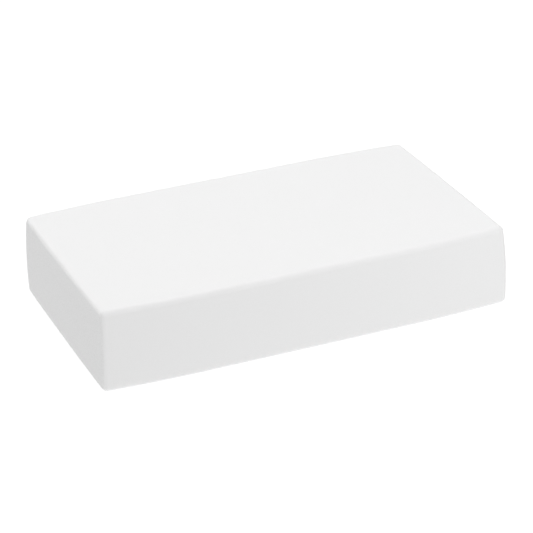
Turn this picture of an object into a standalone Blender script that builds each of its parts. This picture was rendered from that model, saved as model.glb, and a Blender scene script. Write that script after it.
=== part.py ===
"""Nail buffer block: a foam core with an abrasive strip bonded to each of its four long faces.

Units are metres. X runs along the block, Y across it and +Z up, and the origin is the middle of the
underside. A strip is an adhesive film, a backing sheet and a grit coat, which bend over the block's
rounded edges and meet the next strip in the middle of the bend. The two short ends are bare foam.

Every piece starts as a cube, is cut into cells where the form bends, and is then bent onto one rounded
block at its own depth below the surface. The block's faces are a little full and its corners drawn in,
as on foam that was cut while it was squeezed.
"""

import math

import bmesh
import bpy
from mathutils import Vector

MM = 0.001
X, Y, Z = range(3)

# Driving dimensions
LENGTH = 100 * MM
WIDTH = 60 * MM
HEIGHT = 20 * MM
EDGE_RADIUS = 1.3 * MM

# The strip's layers, from the surface inwards
LAYERS = {
    "grit_coat": 0.15 * MM,
    "backing_sheet": 0.20 * MM,
    "adhesive_film": 0.10 * MM,
}
LAYER_GAP = 0.05 * MM
SEAM_GAP = 0.05 * MM  # how far a strip stops short of the middle of each bend, on the surface

# How far the soft form leaves the straight block
CORNER_DRAW_IN = 1.2 * MM  # of the front and back faces, at the block's corners
SIDE_FULLNESS = 0.7 * MM  # of the front and back faces, from edge to mid-height
END_DRAW_IN = 0.2 * MM  # of the end faces, at the block's corners
END_FULLNESS = 0.2 * MM  # of the end faces, from edge to mid-height
END_LEAN = 0.4 * MM  # of the end faces, outwards at the bottom and inwards at the top
CROWN = 0.2 * MM  # of the top face, from its rim to its flat middle; the underside rests flat
FLAT_LENGTH = 0.5  # the share of the length that stays straight
FLAT_WIDTH = 0.3  # the share of the width that stays straight

# The cells that a face is cut into
BEND_STEPS = 2  # in each half of a bend
FLAT_CELLS = (10, 6, 4)  # between the bends, along X, Y and Z

HALF = Vector((LENGTH, WIDTH, HEIGHT)) / 2
INNER = HALF - Vector((EDGE_RADIUS, EDGE_RADIUS, EDGE_RADIUS))

# Each strip's face: the axis that it looks along, and which way
STRIPS = {"top": (Z, 1), "bottom": (Z, -1), "front": (Y, -1), "back": (Y, 1)}

# Colour, roughness
FINISHES = {
    "foam_core": ((0.86, 0.86, 0.86), 0.95),
    "grit_coat": ((0.86, 0.86, 0.86), 0.85),
    "backing_sheet": ((0.84, 0.84, 0.83), 0.80),
    "adhesive_film": ((0.80, 0.79, 0.75), 0.35),
}


def clear_scene():
    for item in list(bpy.data.objects):
        bpy.data.objects.remove(item, do_unlink=True)


def make_materials():
    """One material for each kind of piece."""
    materials = {}
    for name, (colour, roughness) in FINISHES.items():
        material = bpy.data.materials.new(name)
        material.use_nodes = True
        shader = material.node_tree.nodes["Principled BSDF"]
        shader.inputs["Base Color"].default_value = (*colour, 1)
        shader.inputs["Roughness"].default_value = roughness
        shader.inputs["Metallic"].default_value = 0
        materials[name] = material
    return materials


def layer_depths():
    """Each layer's outer and inner depth below the surface, and the depth of the foam under them."""
    depths = {}
    depth = 0
    for name, thickness in LAYERS.items():
        depths[name] = (depth, depth + thickness)
        depth += thickness + LAYER_GAP
    return depths, depth


def rounded(point, depth):
    """Bend a point of the sharp-cornered block onto the rounded one, and sink it by depth."""
    inner = Vector(max(-limit, min(limit, value)) for value, limit in zip(point, INNER))
    return inner + (point - inner).normalized() * (EDGE_RADIUS - depth)


def past(share, flat):
    """0 in the straight middle of a face, and up to 1 at its edge."""
    return max(0, (abs(share) - flat) / (1 - flat)) ** 2


def soften(point):
    """Give a point of the rounded block its place on the soft one."""
    u, v, w = (value / half for value, half in zip(point, HALF))
    along, across, up = past(u, FLAT_LENGTH), past(v, FLAT_WIDTH), w * w
    return Vector((
        point.x - u * (END_DRAW_IN * across + END_FULLNESS * up + END_LEAN * w),
        point.y - v * (CORNER_DRAW_IN * along + SIDE_FULLNESS * up),
        point.z - max(0, w) * CROWN * (along + across - along * across),
    ))


def stations(axis):
    """Where a face is cut along one axis: in its bends, and evenly between them."""
    straight = [
        INNER[axis] * (2 * step / FLAT_CELLS[axis] - 1) for step in range(FLAT_CELLS[axis] + 1)
    ]
    bend = [
        INNER[axis] + EDGE_RADIUS * math.tan(math.pi / 4 * step / BEND_STEPS)
        for step in range(1, BEND_STEPS)
    ]
    return [-place for place in bend] + straight + bend


def cut_cube(half_sizes, axes):
    """A cube of the given half sizes, cut into cells along some of its axes."""
    mesh = bmesh.new()
    bmesh.ops.create_cube(mesh, size=2)
    bmesh.ops.scale(mesh, vec=half_sizes, verts=mesh.verts)
    for axis in axes:
        normal = Vector((0, 0, 0))
        normal[axis] = 1
        for place in stations(axis):
            bmesh.ops.bisect_plane(
                mesh,
                geom=mesh.verts[:] + mesh.edges[:] + mesh.faces[:],
                plane_co=normal * place,
                plane_no=normal,
            )
    return mesh


def add_piece(name, mesh, material, collection):
    """Make a mesh, centred on the block's middle, into a smooth-shaded piece standing on z = 0."""
    bmesh.ops.translate(mesh, vec=(0, 0, HALF.z), verts=mesh.verts)
    data = bpy.data.meshes.new(name)
    mesh.to_mesh(data)
    mesh.free()
    data.materials.append(material)
    data.shade_smooth()
    data.set_sharp_from_angle(angle=math.radians(35))
    collection.objects.link(bpy.data.objects.new(name, data))


def strip_layer(axis, side, depths):
    """One layer of a strip: a thin slab that lies on its face and follows the bends around it."""
    outer, inner = depths
    spread = [place for place in (X, Y, Z) if place != axis]
    margin = 2 * SEAM_GAP  # the bend squeezes the margin to half its size on the surface
    half_sizes = HALF - Vector((margin, margin, margin))
    half_sizes[axis] = HALF[axis]
    mesh = cut_cube(half_sizes, spread)
    for vertex in mesh.verts:
        depth = outer if vertex.co[axis] * side > 0 else inner
        place = vertex.co.copy()
        place[axis] = side * HALF[axis]
        vertex.co = soften(rounded(place, depth))
    return mesh


def foam_core(depth):
    """The foam: below the strips on its long faces, and out to the surface at its two ends."""
    mesh = cut_cube(HALF, (X, Y, Z))
    ends = [
        face for face in mesh.faces if all(abs(vertex.co.x) == HALF.x for vertex in face.verts)
    ]
    raised = bmesh.ops.extrude_face_region(mesh, geom=ends)["geom"]
    bmesh.ops.delete(mesh, geom=ends, context="FACES")
    at_surface = {item for item in raised if isinstance(item, bmesh.types.BMVert)}
    for vertex in mesh.verts:
        vertex.co = soften(rounded(vertex.co, 0 if vertex in at_surface else depth))
    return mesh


def main():
    clear_scene()
    collection = bpy.data.collections.new("nail_buffer_block")
    bpy.context.scene.collection.children.link(collection)
    materials = make_materials()
    depths, foam_depth = layer_depths()
    add_piece("foam_core", foam_core(foam_depth), materials["foam_core"], collection)
    for side_name, (axis, side) in STRIPS.items():
        for layer in LAYERS:
            mesh = strip_layer(axis, side, depths[layer])
            add_piece(f"{side_name}_{layer}", mesh, materials[layer], collection)


main()
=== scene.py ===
"""The looks of the nail buffer block: thirteen fine-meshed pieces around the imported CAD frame.

Every piece is a grid bent onto the same soft, round-edged block as its CAD node, but with much finer
cells, and at its own depth below the surface. The long faces carry a fine white grit, and the two ends
are bare closed-cell foam. Units are metres.
"""

import math

import bmesh
import bpy
import numpy as np
from mathutils import Matrix, Vector


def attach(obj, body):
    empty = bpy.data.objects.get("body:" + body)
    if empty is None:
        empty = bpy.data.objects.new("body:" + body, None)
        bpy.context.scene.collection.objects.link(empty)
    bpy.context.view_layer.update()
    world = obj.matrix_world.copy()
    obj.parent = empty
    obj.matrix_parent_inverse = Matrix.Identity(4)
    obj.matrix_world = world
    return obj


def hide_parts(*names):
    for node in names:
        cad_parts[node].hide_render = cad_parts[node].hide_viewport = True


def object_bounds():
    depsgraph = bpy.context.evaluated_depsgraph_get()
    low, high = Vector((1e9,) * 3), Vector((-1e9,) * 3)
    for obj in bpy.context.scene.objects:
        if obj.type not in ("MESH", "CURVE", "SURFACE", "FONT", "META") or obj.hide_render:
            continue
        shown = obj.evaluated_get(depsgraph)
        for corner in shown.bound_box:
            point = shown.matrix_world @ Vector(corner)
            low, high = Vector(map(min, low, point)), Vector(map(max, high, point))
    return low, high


MM = 0.001
X, Y, Z = range(3)

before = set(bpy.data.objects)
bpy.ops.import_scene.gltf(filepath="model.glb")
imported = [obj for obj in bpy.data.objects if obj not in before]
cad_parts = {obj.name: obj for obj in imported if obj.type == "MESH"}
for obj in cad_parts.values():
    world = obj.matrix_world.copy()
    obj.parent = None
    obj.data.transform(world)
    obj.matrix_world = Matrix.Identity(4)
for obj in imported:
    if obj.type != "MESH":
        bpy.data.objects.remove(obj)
cad_low, cad_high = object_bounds()

# The soft form, as the frame's parts have it
EDGE_RADIUS = 1.3 * MM
CORNER_DRAW_IN = 1.2 * MM  # of the front and back faces, at the block's corners
SIDE_FULLNESS = 0.7 * MM  # of the front and back faces, from edge to mid-height
END_DRAW_IN = 0.2 * MM  # of the end faces, at the block's corners
END_FULLNESS = 0.2 * MM  # of the end faces, from edge to mid-height
END_LEAN = 0.4 * MM  # of the end faces, outwards at the bottom and inwards at the top
CROWN = 0.2 * MM  # of the top face, from its rim to its flat middle
FLAT_LENGTH = 0.5  # the share of the length that stays straight
FLAT_WIDTH = 0.3  # the share of the width that stays straight

# The strip's layers: how thick each is, from the surface inwards
LAYERS = {
    "grit_coat": 0.15 * MM,
    "backing_sheet": 0.20 * MM,
    "adhesive_film": 0.10 * MM,
}
LAYER_GAP = 0.05 * MM
SEAM_GAP = 0.002 * MM  # how far a strip stops short of the middle of each bend, on the surface

# How finely the visible meshes are cut: cells on the flat, and steps in each half of a bend
LAYER_CELLS = {"grit_coat": 1.0 * MM, "backing_sheet": 2.5 * MM, "adhesive_film": 2.5 * MM}
LAYER_BENDS = {"grit_coat": 8, "backing_sheet": 4, "adhesive_film": 4}
FOAM_CELLS = (2.5 * MM, 0.75 * MM, 0.75 * MM)  # along X, Y and Z
FOAM_BENDS = 8
WELD = 0.0005 * MM
SHARP_ANGLE = 35  # degrees

# The materials: base colours, and the size of what shows in each
WHITE = (0.87, 0.87, 0.87)
FOAM = (0.85, 0.85, 0.85)
PAPER = (0.84, 0.84, 0.83)
MILKY = (0.80, 0.79, 0.75)
GRIT_GRAIN = 0.12 * MM
FOAM_PORE = 0.25 * MM
PAPER_FIBRE = 0.3 * MM
ADHESIVE_FLOW = 4 * MM

# A white table that glows a little, and a white room around it
FLOOR_RADIUS = 5.0
FLOOR_SIDES = 64
FLOOR_TONE = 0.12
FLOOR_GLOW = 0.95
HORIZON_GLOW = 0.95
SKY_GLOW = 0.05
HORIZON_LOW, HORIZON_HIGH = 0.04, 0.12  # the glow fades between these heights, as sines of elevation

# Azimuth and elevation in degrees, distance and size in metres, and power in watts
SOFTBOXES = {
    "top_softbox": (0, 90, 1.3, 0.7, 8.9),
    "back_softbox": (180, 45, 1.3, 0.7, 6.5),
    "front_high_softbox": (0, 60, 1.3, 0.7, 3.2),
    "front_softbox": (0, 15, 1.3, 0.7, 0.8),
    "left_softbox": (-90, 20, 1.3, 0.7, 2.5),
    "right_softbox": (31, 12, 0.24, 0.12, 0.088),
}

# The camera: degrees, metres, and the sensor and lens in millimetres
CAMERA_AZIMUTH, CAMERA_ELEVATION, CAMERA_ROLL = -21.40, 25.89, -2.29
CAMERA_DISTANCE = 0.5386
AIM_RIGHT, AIM_DOWN = 0.00085, 0.00174  # from the block's middle, as the camera sees it
SENSOR = 36.0
LENS = 153.96
NEAREST_SEEN = 0.01

# The block's half sizes, from the frame. Its box is longer than the block's middle by the foot of the
# leaning ends.
half_width = (cad_high.y - cad_low.y) / 2
half_height = (cad_high.z - cad_low.z) / 2
foot = 1 - EDGE_RADIUS / half_height
half_length = (cad_high.x - cad_low.x) / 2 - END_LEAN * foot + END_FULLNESS * foot**2
HALF = np.array([half_length, half_width, half_height])
INNER = HALF - EDGE_RADIUS
MIDDLE = np.array((cad_low + cad_high) / 2)

STRIPS = {"top": (Z, 1), "bottom": (Z, -1), "front": (Y, -1), "back": (Y, 1)}


# ---------------------------------------------------------------- shape


def rounded(points, depths):
    """Bend points of the sharp-cornered block onto the rounded one, and sink each by its depth."""
    inner = np.clip(points, -INNER, INNER)
    out = points - inner
    out /= np.linalg.norm(out, axis=1, keepdims=True)
    return inner + out * (EDGE_RADIUS - depths)[:, None]


def past(share, flat):
    """0 in the straight middle of a face, and up to 1 at its edge."""
    return np.maximum(0, (np.abs(share) - flat) / (1 - flat)) ** 2


def soften(points):
    """Give points of the rounded block their places on the soft one, which stands in the frame."""
    u, v, w = (points / HALF).T
    along, across, up = past(u, FLAT_LENGTH), past(v, FLAT_WIDTH), w * w
    moved = np.array([
        u * (END_DRAW_IN * across + END_FULLNESS * up + END_LEAN * w),
        v * (CORNER_DRAW_IN * along + SIDE_FULLNESS * up),
        np.maximum(0, w) * CROWN * (along + across - along * across),
    ]).T
    return points - moved + MIDDLE


def stations(axis, cell, bend_steps, margin=0.0):
    """Where a face's cells meet along one axis: close together in its bends, and a cell apart
    between them.
    """
    cells = math.ceil(2 * INNER[axis] / cell)
    straight = np.linspace(-INNER[axis], INNER[axis], cells + 1)
    turns = math.pi / 4 * np.arange(1, bend_steps + 1) / bend_steps
    bend = INNER[axis] + EDGE_RADIUS * np.tan(turns)
    bend[-1] -= margin
    return np.concatenate([-bend[::-1], straight, bend])


def add_grid(mesh, axis, side, cells, bend_steps, margin=0.0):
    """Add one face of the sharp-cornered block to a bmesh as a grid, and return its vertices."""
    first, second = [place for place in (X, Y, Z) if place != axis]
    rows = stations(first, cells[first], bend_steps, margin)
    columns = stations(second, cells[second], bend_steps, margin)
    last_row, last_column = len(rows) - 1, len(columns) - 1
    added = bmesh.ops.create_grid(mesh, x_segments=last_row, y_segments=last_column, size=1)["verts"]
    for vertex in added:
        row = round((vertex.co.x + 1) / 2 * last_row)
        column = round((vertex.co.y + 1) / 2 * last_column)
        vertex.co[first] = rows[row]
        vertex.co[second] = columns[column]
        vertex.co[axis] = side * HALF[axis]
    return added


def bend_onto_block(mesh, depths):
    """Move a bmesh's vertices from the sharp-cornered block onto the soft one, each at its depth."""
    vertices = list(mesh.verts)
    points = np.array([vertex.co for vertex in vertices])
    sunk = np.array([depths[vertex] for vertex in vertices])
    for vertex, place in zip(vertices, soften(rounded(points, sunk))):
        vertex.co = place


def finish_piece(name, mesh, material):
    """Turn a closed bmesh into a smooth-shaded object."""
    bmesh.ops.recalc_face_normals(mesh, faces=mesh.faces)
    data = bpy.data.meshes.new(name)
    mesh.to_mesh(data)
    mesh.free()
    data.materials.append(material)
    data.shade_smooth()
    data.set_sharp_from_angle(angle=math.radians(SHARP_ANGLE))
    piece = bpy.data.objects.new(name, data)
    bpy.context.scene.collection.objects.link(piece)
    return piece


def strip_layer(name, axis, side, outer, inner, cells, bend_steps, material):
    """One layer of a strip: a grid on the block's face, thickened inwards."""
    mesh = bmesh.new()
    below = add_grid(mesh, axis, side, cells, bend_steps, margin=2 * SEAM_GAP)
    bmesh.ops.extrude_face_region(mesh, geom=mesh.faces[:])
    depths = dict.fromkeys(mesh.verts, outer)
    depths.update(dict.fromkeys(below, inner))
    bend_onto_block(mesh, depths)
    return finish_piece(name, mesh, material)


def foam_block(name, depth, cells, bend_steps, material):
    """The foam: sunk below the strips on its long faces, and out to the surface at its two ends."""
    mesh = bmesh.new()
    depths = {}
    for side in (-1, 1):
        shown = add_grid(mesh, X, side, cells, bend_steps)
        edges = {edge for vertex in shown for edge in vertex.link_edges}
        rim = [edge for edge in edges if edge.is_boundary]
        step = bmesh.ops.extrude_edge_only(mesh, edges=rim)["geom"]
        depths.update(dict.fromkeys(shown, 0.0))
        depths.update({item: depth for item in step if isinstance(item, bmesh.types.BMVert)})
    for axis, side in STRIPS.values():
        depths.update(dict.fromkeys(add_grid(mesh, axis, side, cells, bend_steps), depth))
    bend_onto_block(mesh, depths)
    bmesh.ops.remove_doubles(mesh, verts=mesh.verts, dist=WELD)
    return finish_piece(name, mesh, material)


# ---------------------------------------------------------------- materials


class Look:
    """A material with a Principled BSDF, and the nodes that vary it over the surface."""

    def __init__(self, name, colour, roughness, specular=0.5):
        self.material = bpy.data.materials.new(name)
        self.material.use_nodes = True
        self.tree = self.material.node_tree
        self.shader = self.tree.nodes["Principled BSDF"]
        self.shader.inputs["Base Color"].default_value = (*colour, 1)
        self.shader.inputs["Roughness"].default_value = roughness
        self.shader.inputs["Specular IOR Level"].default_value = specular
        self.place = self.tree.nodes.new("ShaderNodeTexCoord").outputs["Object"]

    def link(self, source, target):
        """Wire one socket to another."""
        self.tree.links.new(source, target)

    def noise(self, size, detail=2.0, roughness=0.5):
        """Noise whose lumps are about size across."""
        node = self.tree.nodes.new("ShaderNodeTexNoise")
        node.inputs["Scale"].default_value = 1 / size
        node.inputs["Detail"].default_value = detail
        node.inputs["Roughness"].default_value = roughness
        self.link(self.place, node.inputs["Vector"])
        return node.outputs["Fac"]

    def cells(self, size):
        """The distance to the middle of the nearest cell of about this size."""
        node = self.tree.nodes.new("ShaderNodeTexVoronoi")
        node.inputs["Scale"].default_value = 1 / size
        self.link(self.place, node.inputs["Vector"])
        return node.outputs["Distance"]

    def spread(self, value, low, high, from_low=0.3, from_high=0.7):
        """Take a pattern's values to a range of their own."""
        node = self.tree.nodes.new("ShaderNodeMapRange")
        node.inputs["From Min"].default_value = from_low
        node.inputs["From Max"].default_value = from_high
        node.inputs["To Min"].default_value = low
        node.inputs["To Max"].default_value = high
        self.link(value, node.inputs["Value"])
        return node.outputs["Result"]

    def tint(self, value, dark, light):
        """Base colour between two tones, by a pattern."""
        node = self.tree.nodes.new("ShaderNodeMix")
        node.data_type = "RGBA"
        node.inputs["A"].default_value = (*dark, 1)
        node.inputs["B"].default_value = (*light, 1)
        self.link(self.spread(value, 0.0, 1.0), node.inputs["Factor"])
        self.link(node.outputs["Result"], self.shader.inputs["Base Color"])

    def relief(self, *layers):
        """Bumps, each a pattern and its height."""
        below = None
        for value, height in layers:
            node = self.tree.nodes.new("ShaderNodeBump")
            node.inputs["Distance"].default_value = height
            self.link(value, node.inputs["Height"])
            if below:
                self.link(below, node.inputs["Normal"])
            below = node.outputs["Normal"]
        self.link(below, self.shader.inputs["Normal"])


def grit_look():
    """Very fine white abrasive in resin: dead matt, with grains too small to tell apart."""
    look = Look("fine_white_grit", WHITE, 0.9, specular=0.3)
    grains = look.noise(GRIT_GRAIN, detail=3, roughness=0.6)
    look.tint(grains, shade(WHITE, 0.97), shade(WHITE, 1.02))
    look.link(look.spread(look.noise(1.5 * MM), 0.85, 0.95), look.shader.inputs["Roughness"])
    look.relief((look.noise(2.5 * MM), 0.002 * MM), (grains, 0.004 * MM))
    return look.material


def foam_look():
    """Fine closed-cell foam, cut clean: small round cells with soft walls."""
    look = Look("white_foam", FOAM, 0.95, specular=0.25)
    pores = look.cells(FOAM_PORE)
    look.tint(pores, shade(FOAM, 1.02), shade(FOAM, 0.96))
    look.link(look.spread(look.noise(0.8 * MM), 0.9, 1.0), look.shader.inputs["Roughness"])
    look.relief((look.noise(3 * MM), 0.003 * MM), (pores, -0.008 * MM))
    return look.material


def paper_look():
    """The backing: smooth white paper with a faint fibre."""
    look = Look("backing_paper", PAPER, 0.8, specular=0.3)
    fibres = look.noise(PAPER_FIBRE, detail=4, roughness=0.7)
    look.tint(fibres, shade(PAPER, 0.97), shade(PAPER, 1.02))
    look.link(look.spread(fibres, 0.75, 0.85), look.shader.inputs["Roughness"])
    look.relief((fibres, 0.006 * MM))
    return look.material


def adhesive_look():
    """The adhesive: a milky, slightly glossy film."""
    look = Look("milky_adhesive", MILKY, 0.35)
    flow = look.noise(ADHESIVE_FLOW, detail=2)
    look.tint(flow, shade(MILKY, 0.97), shade(MILKY, 1.02))
    look.link(look.spread(flow, 0.3, 0.42), look.shader.inputs["Roughness"])
    look.relief((flow, 0.01 * MM))
    return look.material


def shade(colour, factor):
    """A colour made darker or lighter."""
    return tuple(channel * factor for channel in colour)


# ---------------------------------------------------------------- stage, lights and camera


def add_floor(top):
    """A white table with a glow of its own, so that the block casts next to no shadow."""
    mesh = bmesh.new()
    bmesh.ops.create_circle(mesh, cap_ends=True, radius=FLOOR_RADIUS, segments=FLOOR_SIDES)
    data = bpy.data.meshes.new("floor")
    mesh.to_mesh(data)
    mesh.free()
    material = bpy.data.materials.new("white_table")
    material.use_nodes = True
    shader = material.node_tree.nodes["Principled BSDF"]
    shader.inputs["Base Color"].default_value = (FLOOR_TONE, FLOOR_TONE, FLOOR_TONE, 1)
    shader.inputs["Roughness"].default_value = 1.0
    shader.inputs["Specular IOR Level"].default_value = 0.0
    shader.inputs["Emission Color"].default_value = (1, 1, 1, 1)
    shader.inputs["Emission Strength"].default_value = FLOOR_GLOW
    data.materials.append(material)
    floor = bpy.data.objects.new("floor", data)
    floor.location.z = top
    bpy.context.scene.collection.objects.link(floor)


def add_sky():
    """A white room that is as bright as the floor where the two meet, and nearly dark above."""
    world = bpy.data.worlds.new("studio")
    bpy.context.scene.world = world
    world.use_nodes = True
    tree = world.node_tree
    outwards = tree.nodes.new("ShaderNodeTexCoord").outputs["Generated"]
    split = tree.nodes.new("ShaderNodeSeparateXYZ")
    tree.links.new(outwards, split.inputs["Vector"])
    fade = tree.nodes.new("ShaderNodeMapRange")
    fade.interpolation_type = "SMOOTHSTEP"
    fade.inputs["From Min"].default_value = HORIZON_LOW
    fade.inputs["From Max"].default_value = HORIZON_HIGH
    fade.inputs["To Min"].default_value = HORIZON_GLOW
    fade.inputs["To Max"].default_value = SKY_GLOW
    tree.links.new(split.outputs["Z"], fade.inputs["Value"])
    background = tree.nodes["Background"]
    background.inputs["Color"].default_value = (1, 1, 1, 1)
    tree.links.new(fade.outputs["Result"], background.inputs["Strength"])


def direction(azimuth, elevation):
    """From the block towards a light or the camera. Azimuth 0 is the front, and 90 the right end."""
    azimuth, elevation = math.radians(azimuth), math.radians(elevation)
    return Vector((
        math.sin(azimuth) * math.cos(elevation),
        -math.cos(azimuth) * math.cos(elevation),
        math.sin(elevation),
    ))


def add_softbox(name, azimuth, elevation, distance, size, power):
    """A square soft light that faces the block."""
    light = bpy.data.lights.new(name, "AREA")
    light.shape = "SQUARE"
    light.size = size
    light.energy = power
    towards = direction(azimuth, elevation)
    box = bpy.data.objects.new(name, light)
    box.location = Vector(MIDDLE) + towards * distance
    box.rotation_euler = towards.to_track_quat("Z", "Y").to_euler()
    bpy.context.scene.collection.objects.link(box)


def add_camera():
    """A long lens that looks down on the front and the left end, turned a little on its axis."""
    back = direction(CAMERA_AZIMUTH, CAMERA_ELEVATION)
    level = Vector((0, 0, 1)).cross(back).normalized()
    upright = back.cross(level)
    roll = math.radians(CAMERA_ROLL)
    right = level * math.cos(roll) + upright * math.sin(roll)
    up = upright * math.cos(roll) - level * math.sin(roll)
    aim = Vector(MIDDLE) + right * AIM_RIGHT - up * AIM_DOWN
    camera = bpy.data.objects.new("camera", bpy.data.cameras.new("camera"))
    camera.data.sensor_width = SENSOR
    camera.data.lens = LENS
    camera.data.clip_start = NEAREST_SEEN
    turned = Matrix((right, up, back)).transposed().to_4x4()
    camera.matrix_world = Matrix.Translation(aim + back * CAMERA_DISTANCE) @ turned
    bpy.context.scene.collection.objects.link(camera)
    bpy.context.scene.camera = camera


# ---------------------------------------------------------------- the object

looks = {
    "grit_coat": grit_look(),
    "backing_sheet": paper_look(),
    "adhesive_film": adhesive_look(),
}

depth = 0.0
for layer, thickness in LAYERS.items():
    for strip, (axis, side) in STRIPS.items():
        piece = strip_layer(
            f"{strip}_{layer}_fine", axis, side, depth, depth + thickness,
            [LAYER_CELLS[layer]] * 3, LAYER_BENDS[layer], looks[layer],
        )
        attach(piece, "root")
        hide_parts(f"{strip}_{layer}")
    depth += thickness + LAYER_GAP

foam = foam_block("foam_core_fine", depth, FOAM_CELLS, FOAM_BENDS, foam_look())
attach(foam, "root")
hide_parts("foam_core")

add_floor(cad_low.z)
add_sky()
for name, values in SOFTBOXES.items():
    add_softbox(name, *values)
add_camera()
bpy.context.scene.view_settings.view_transform = "Standard"
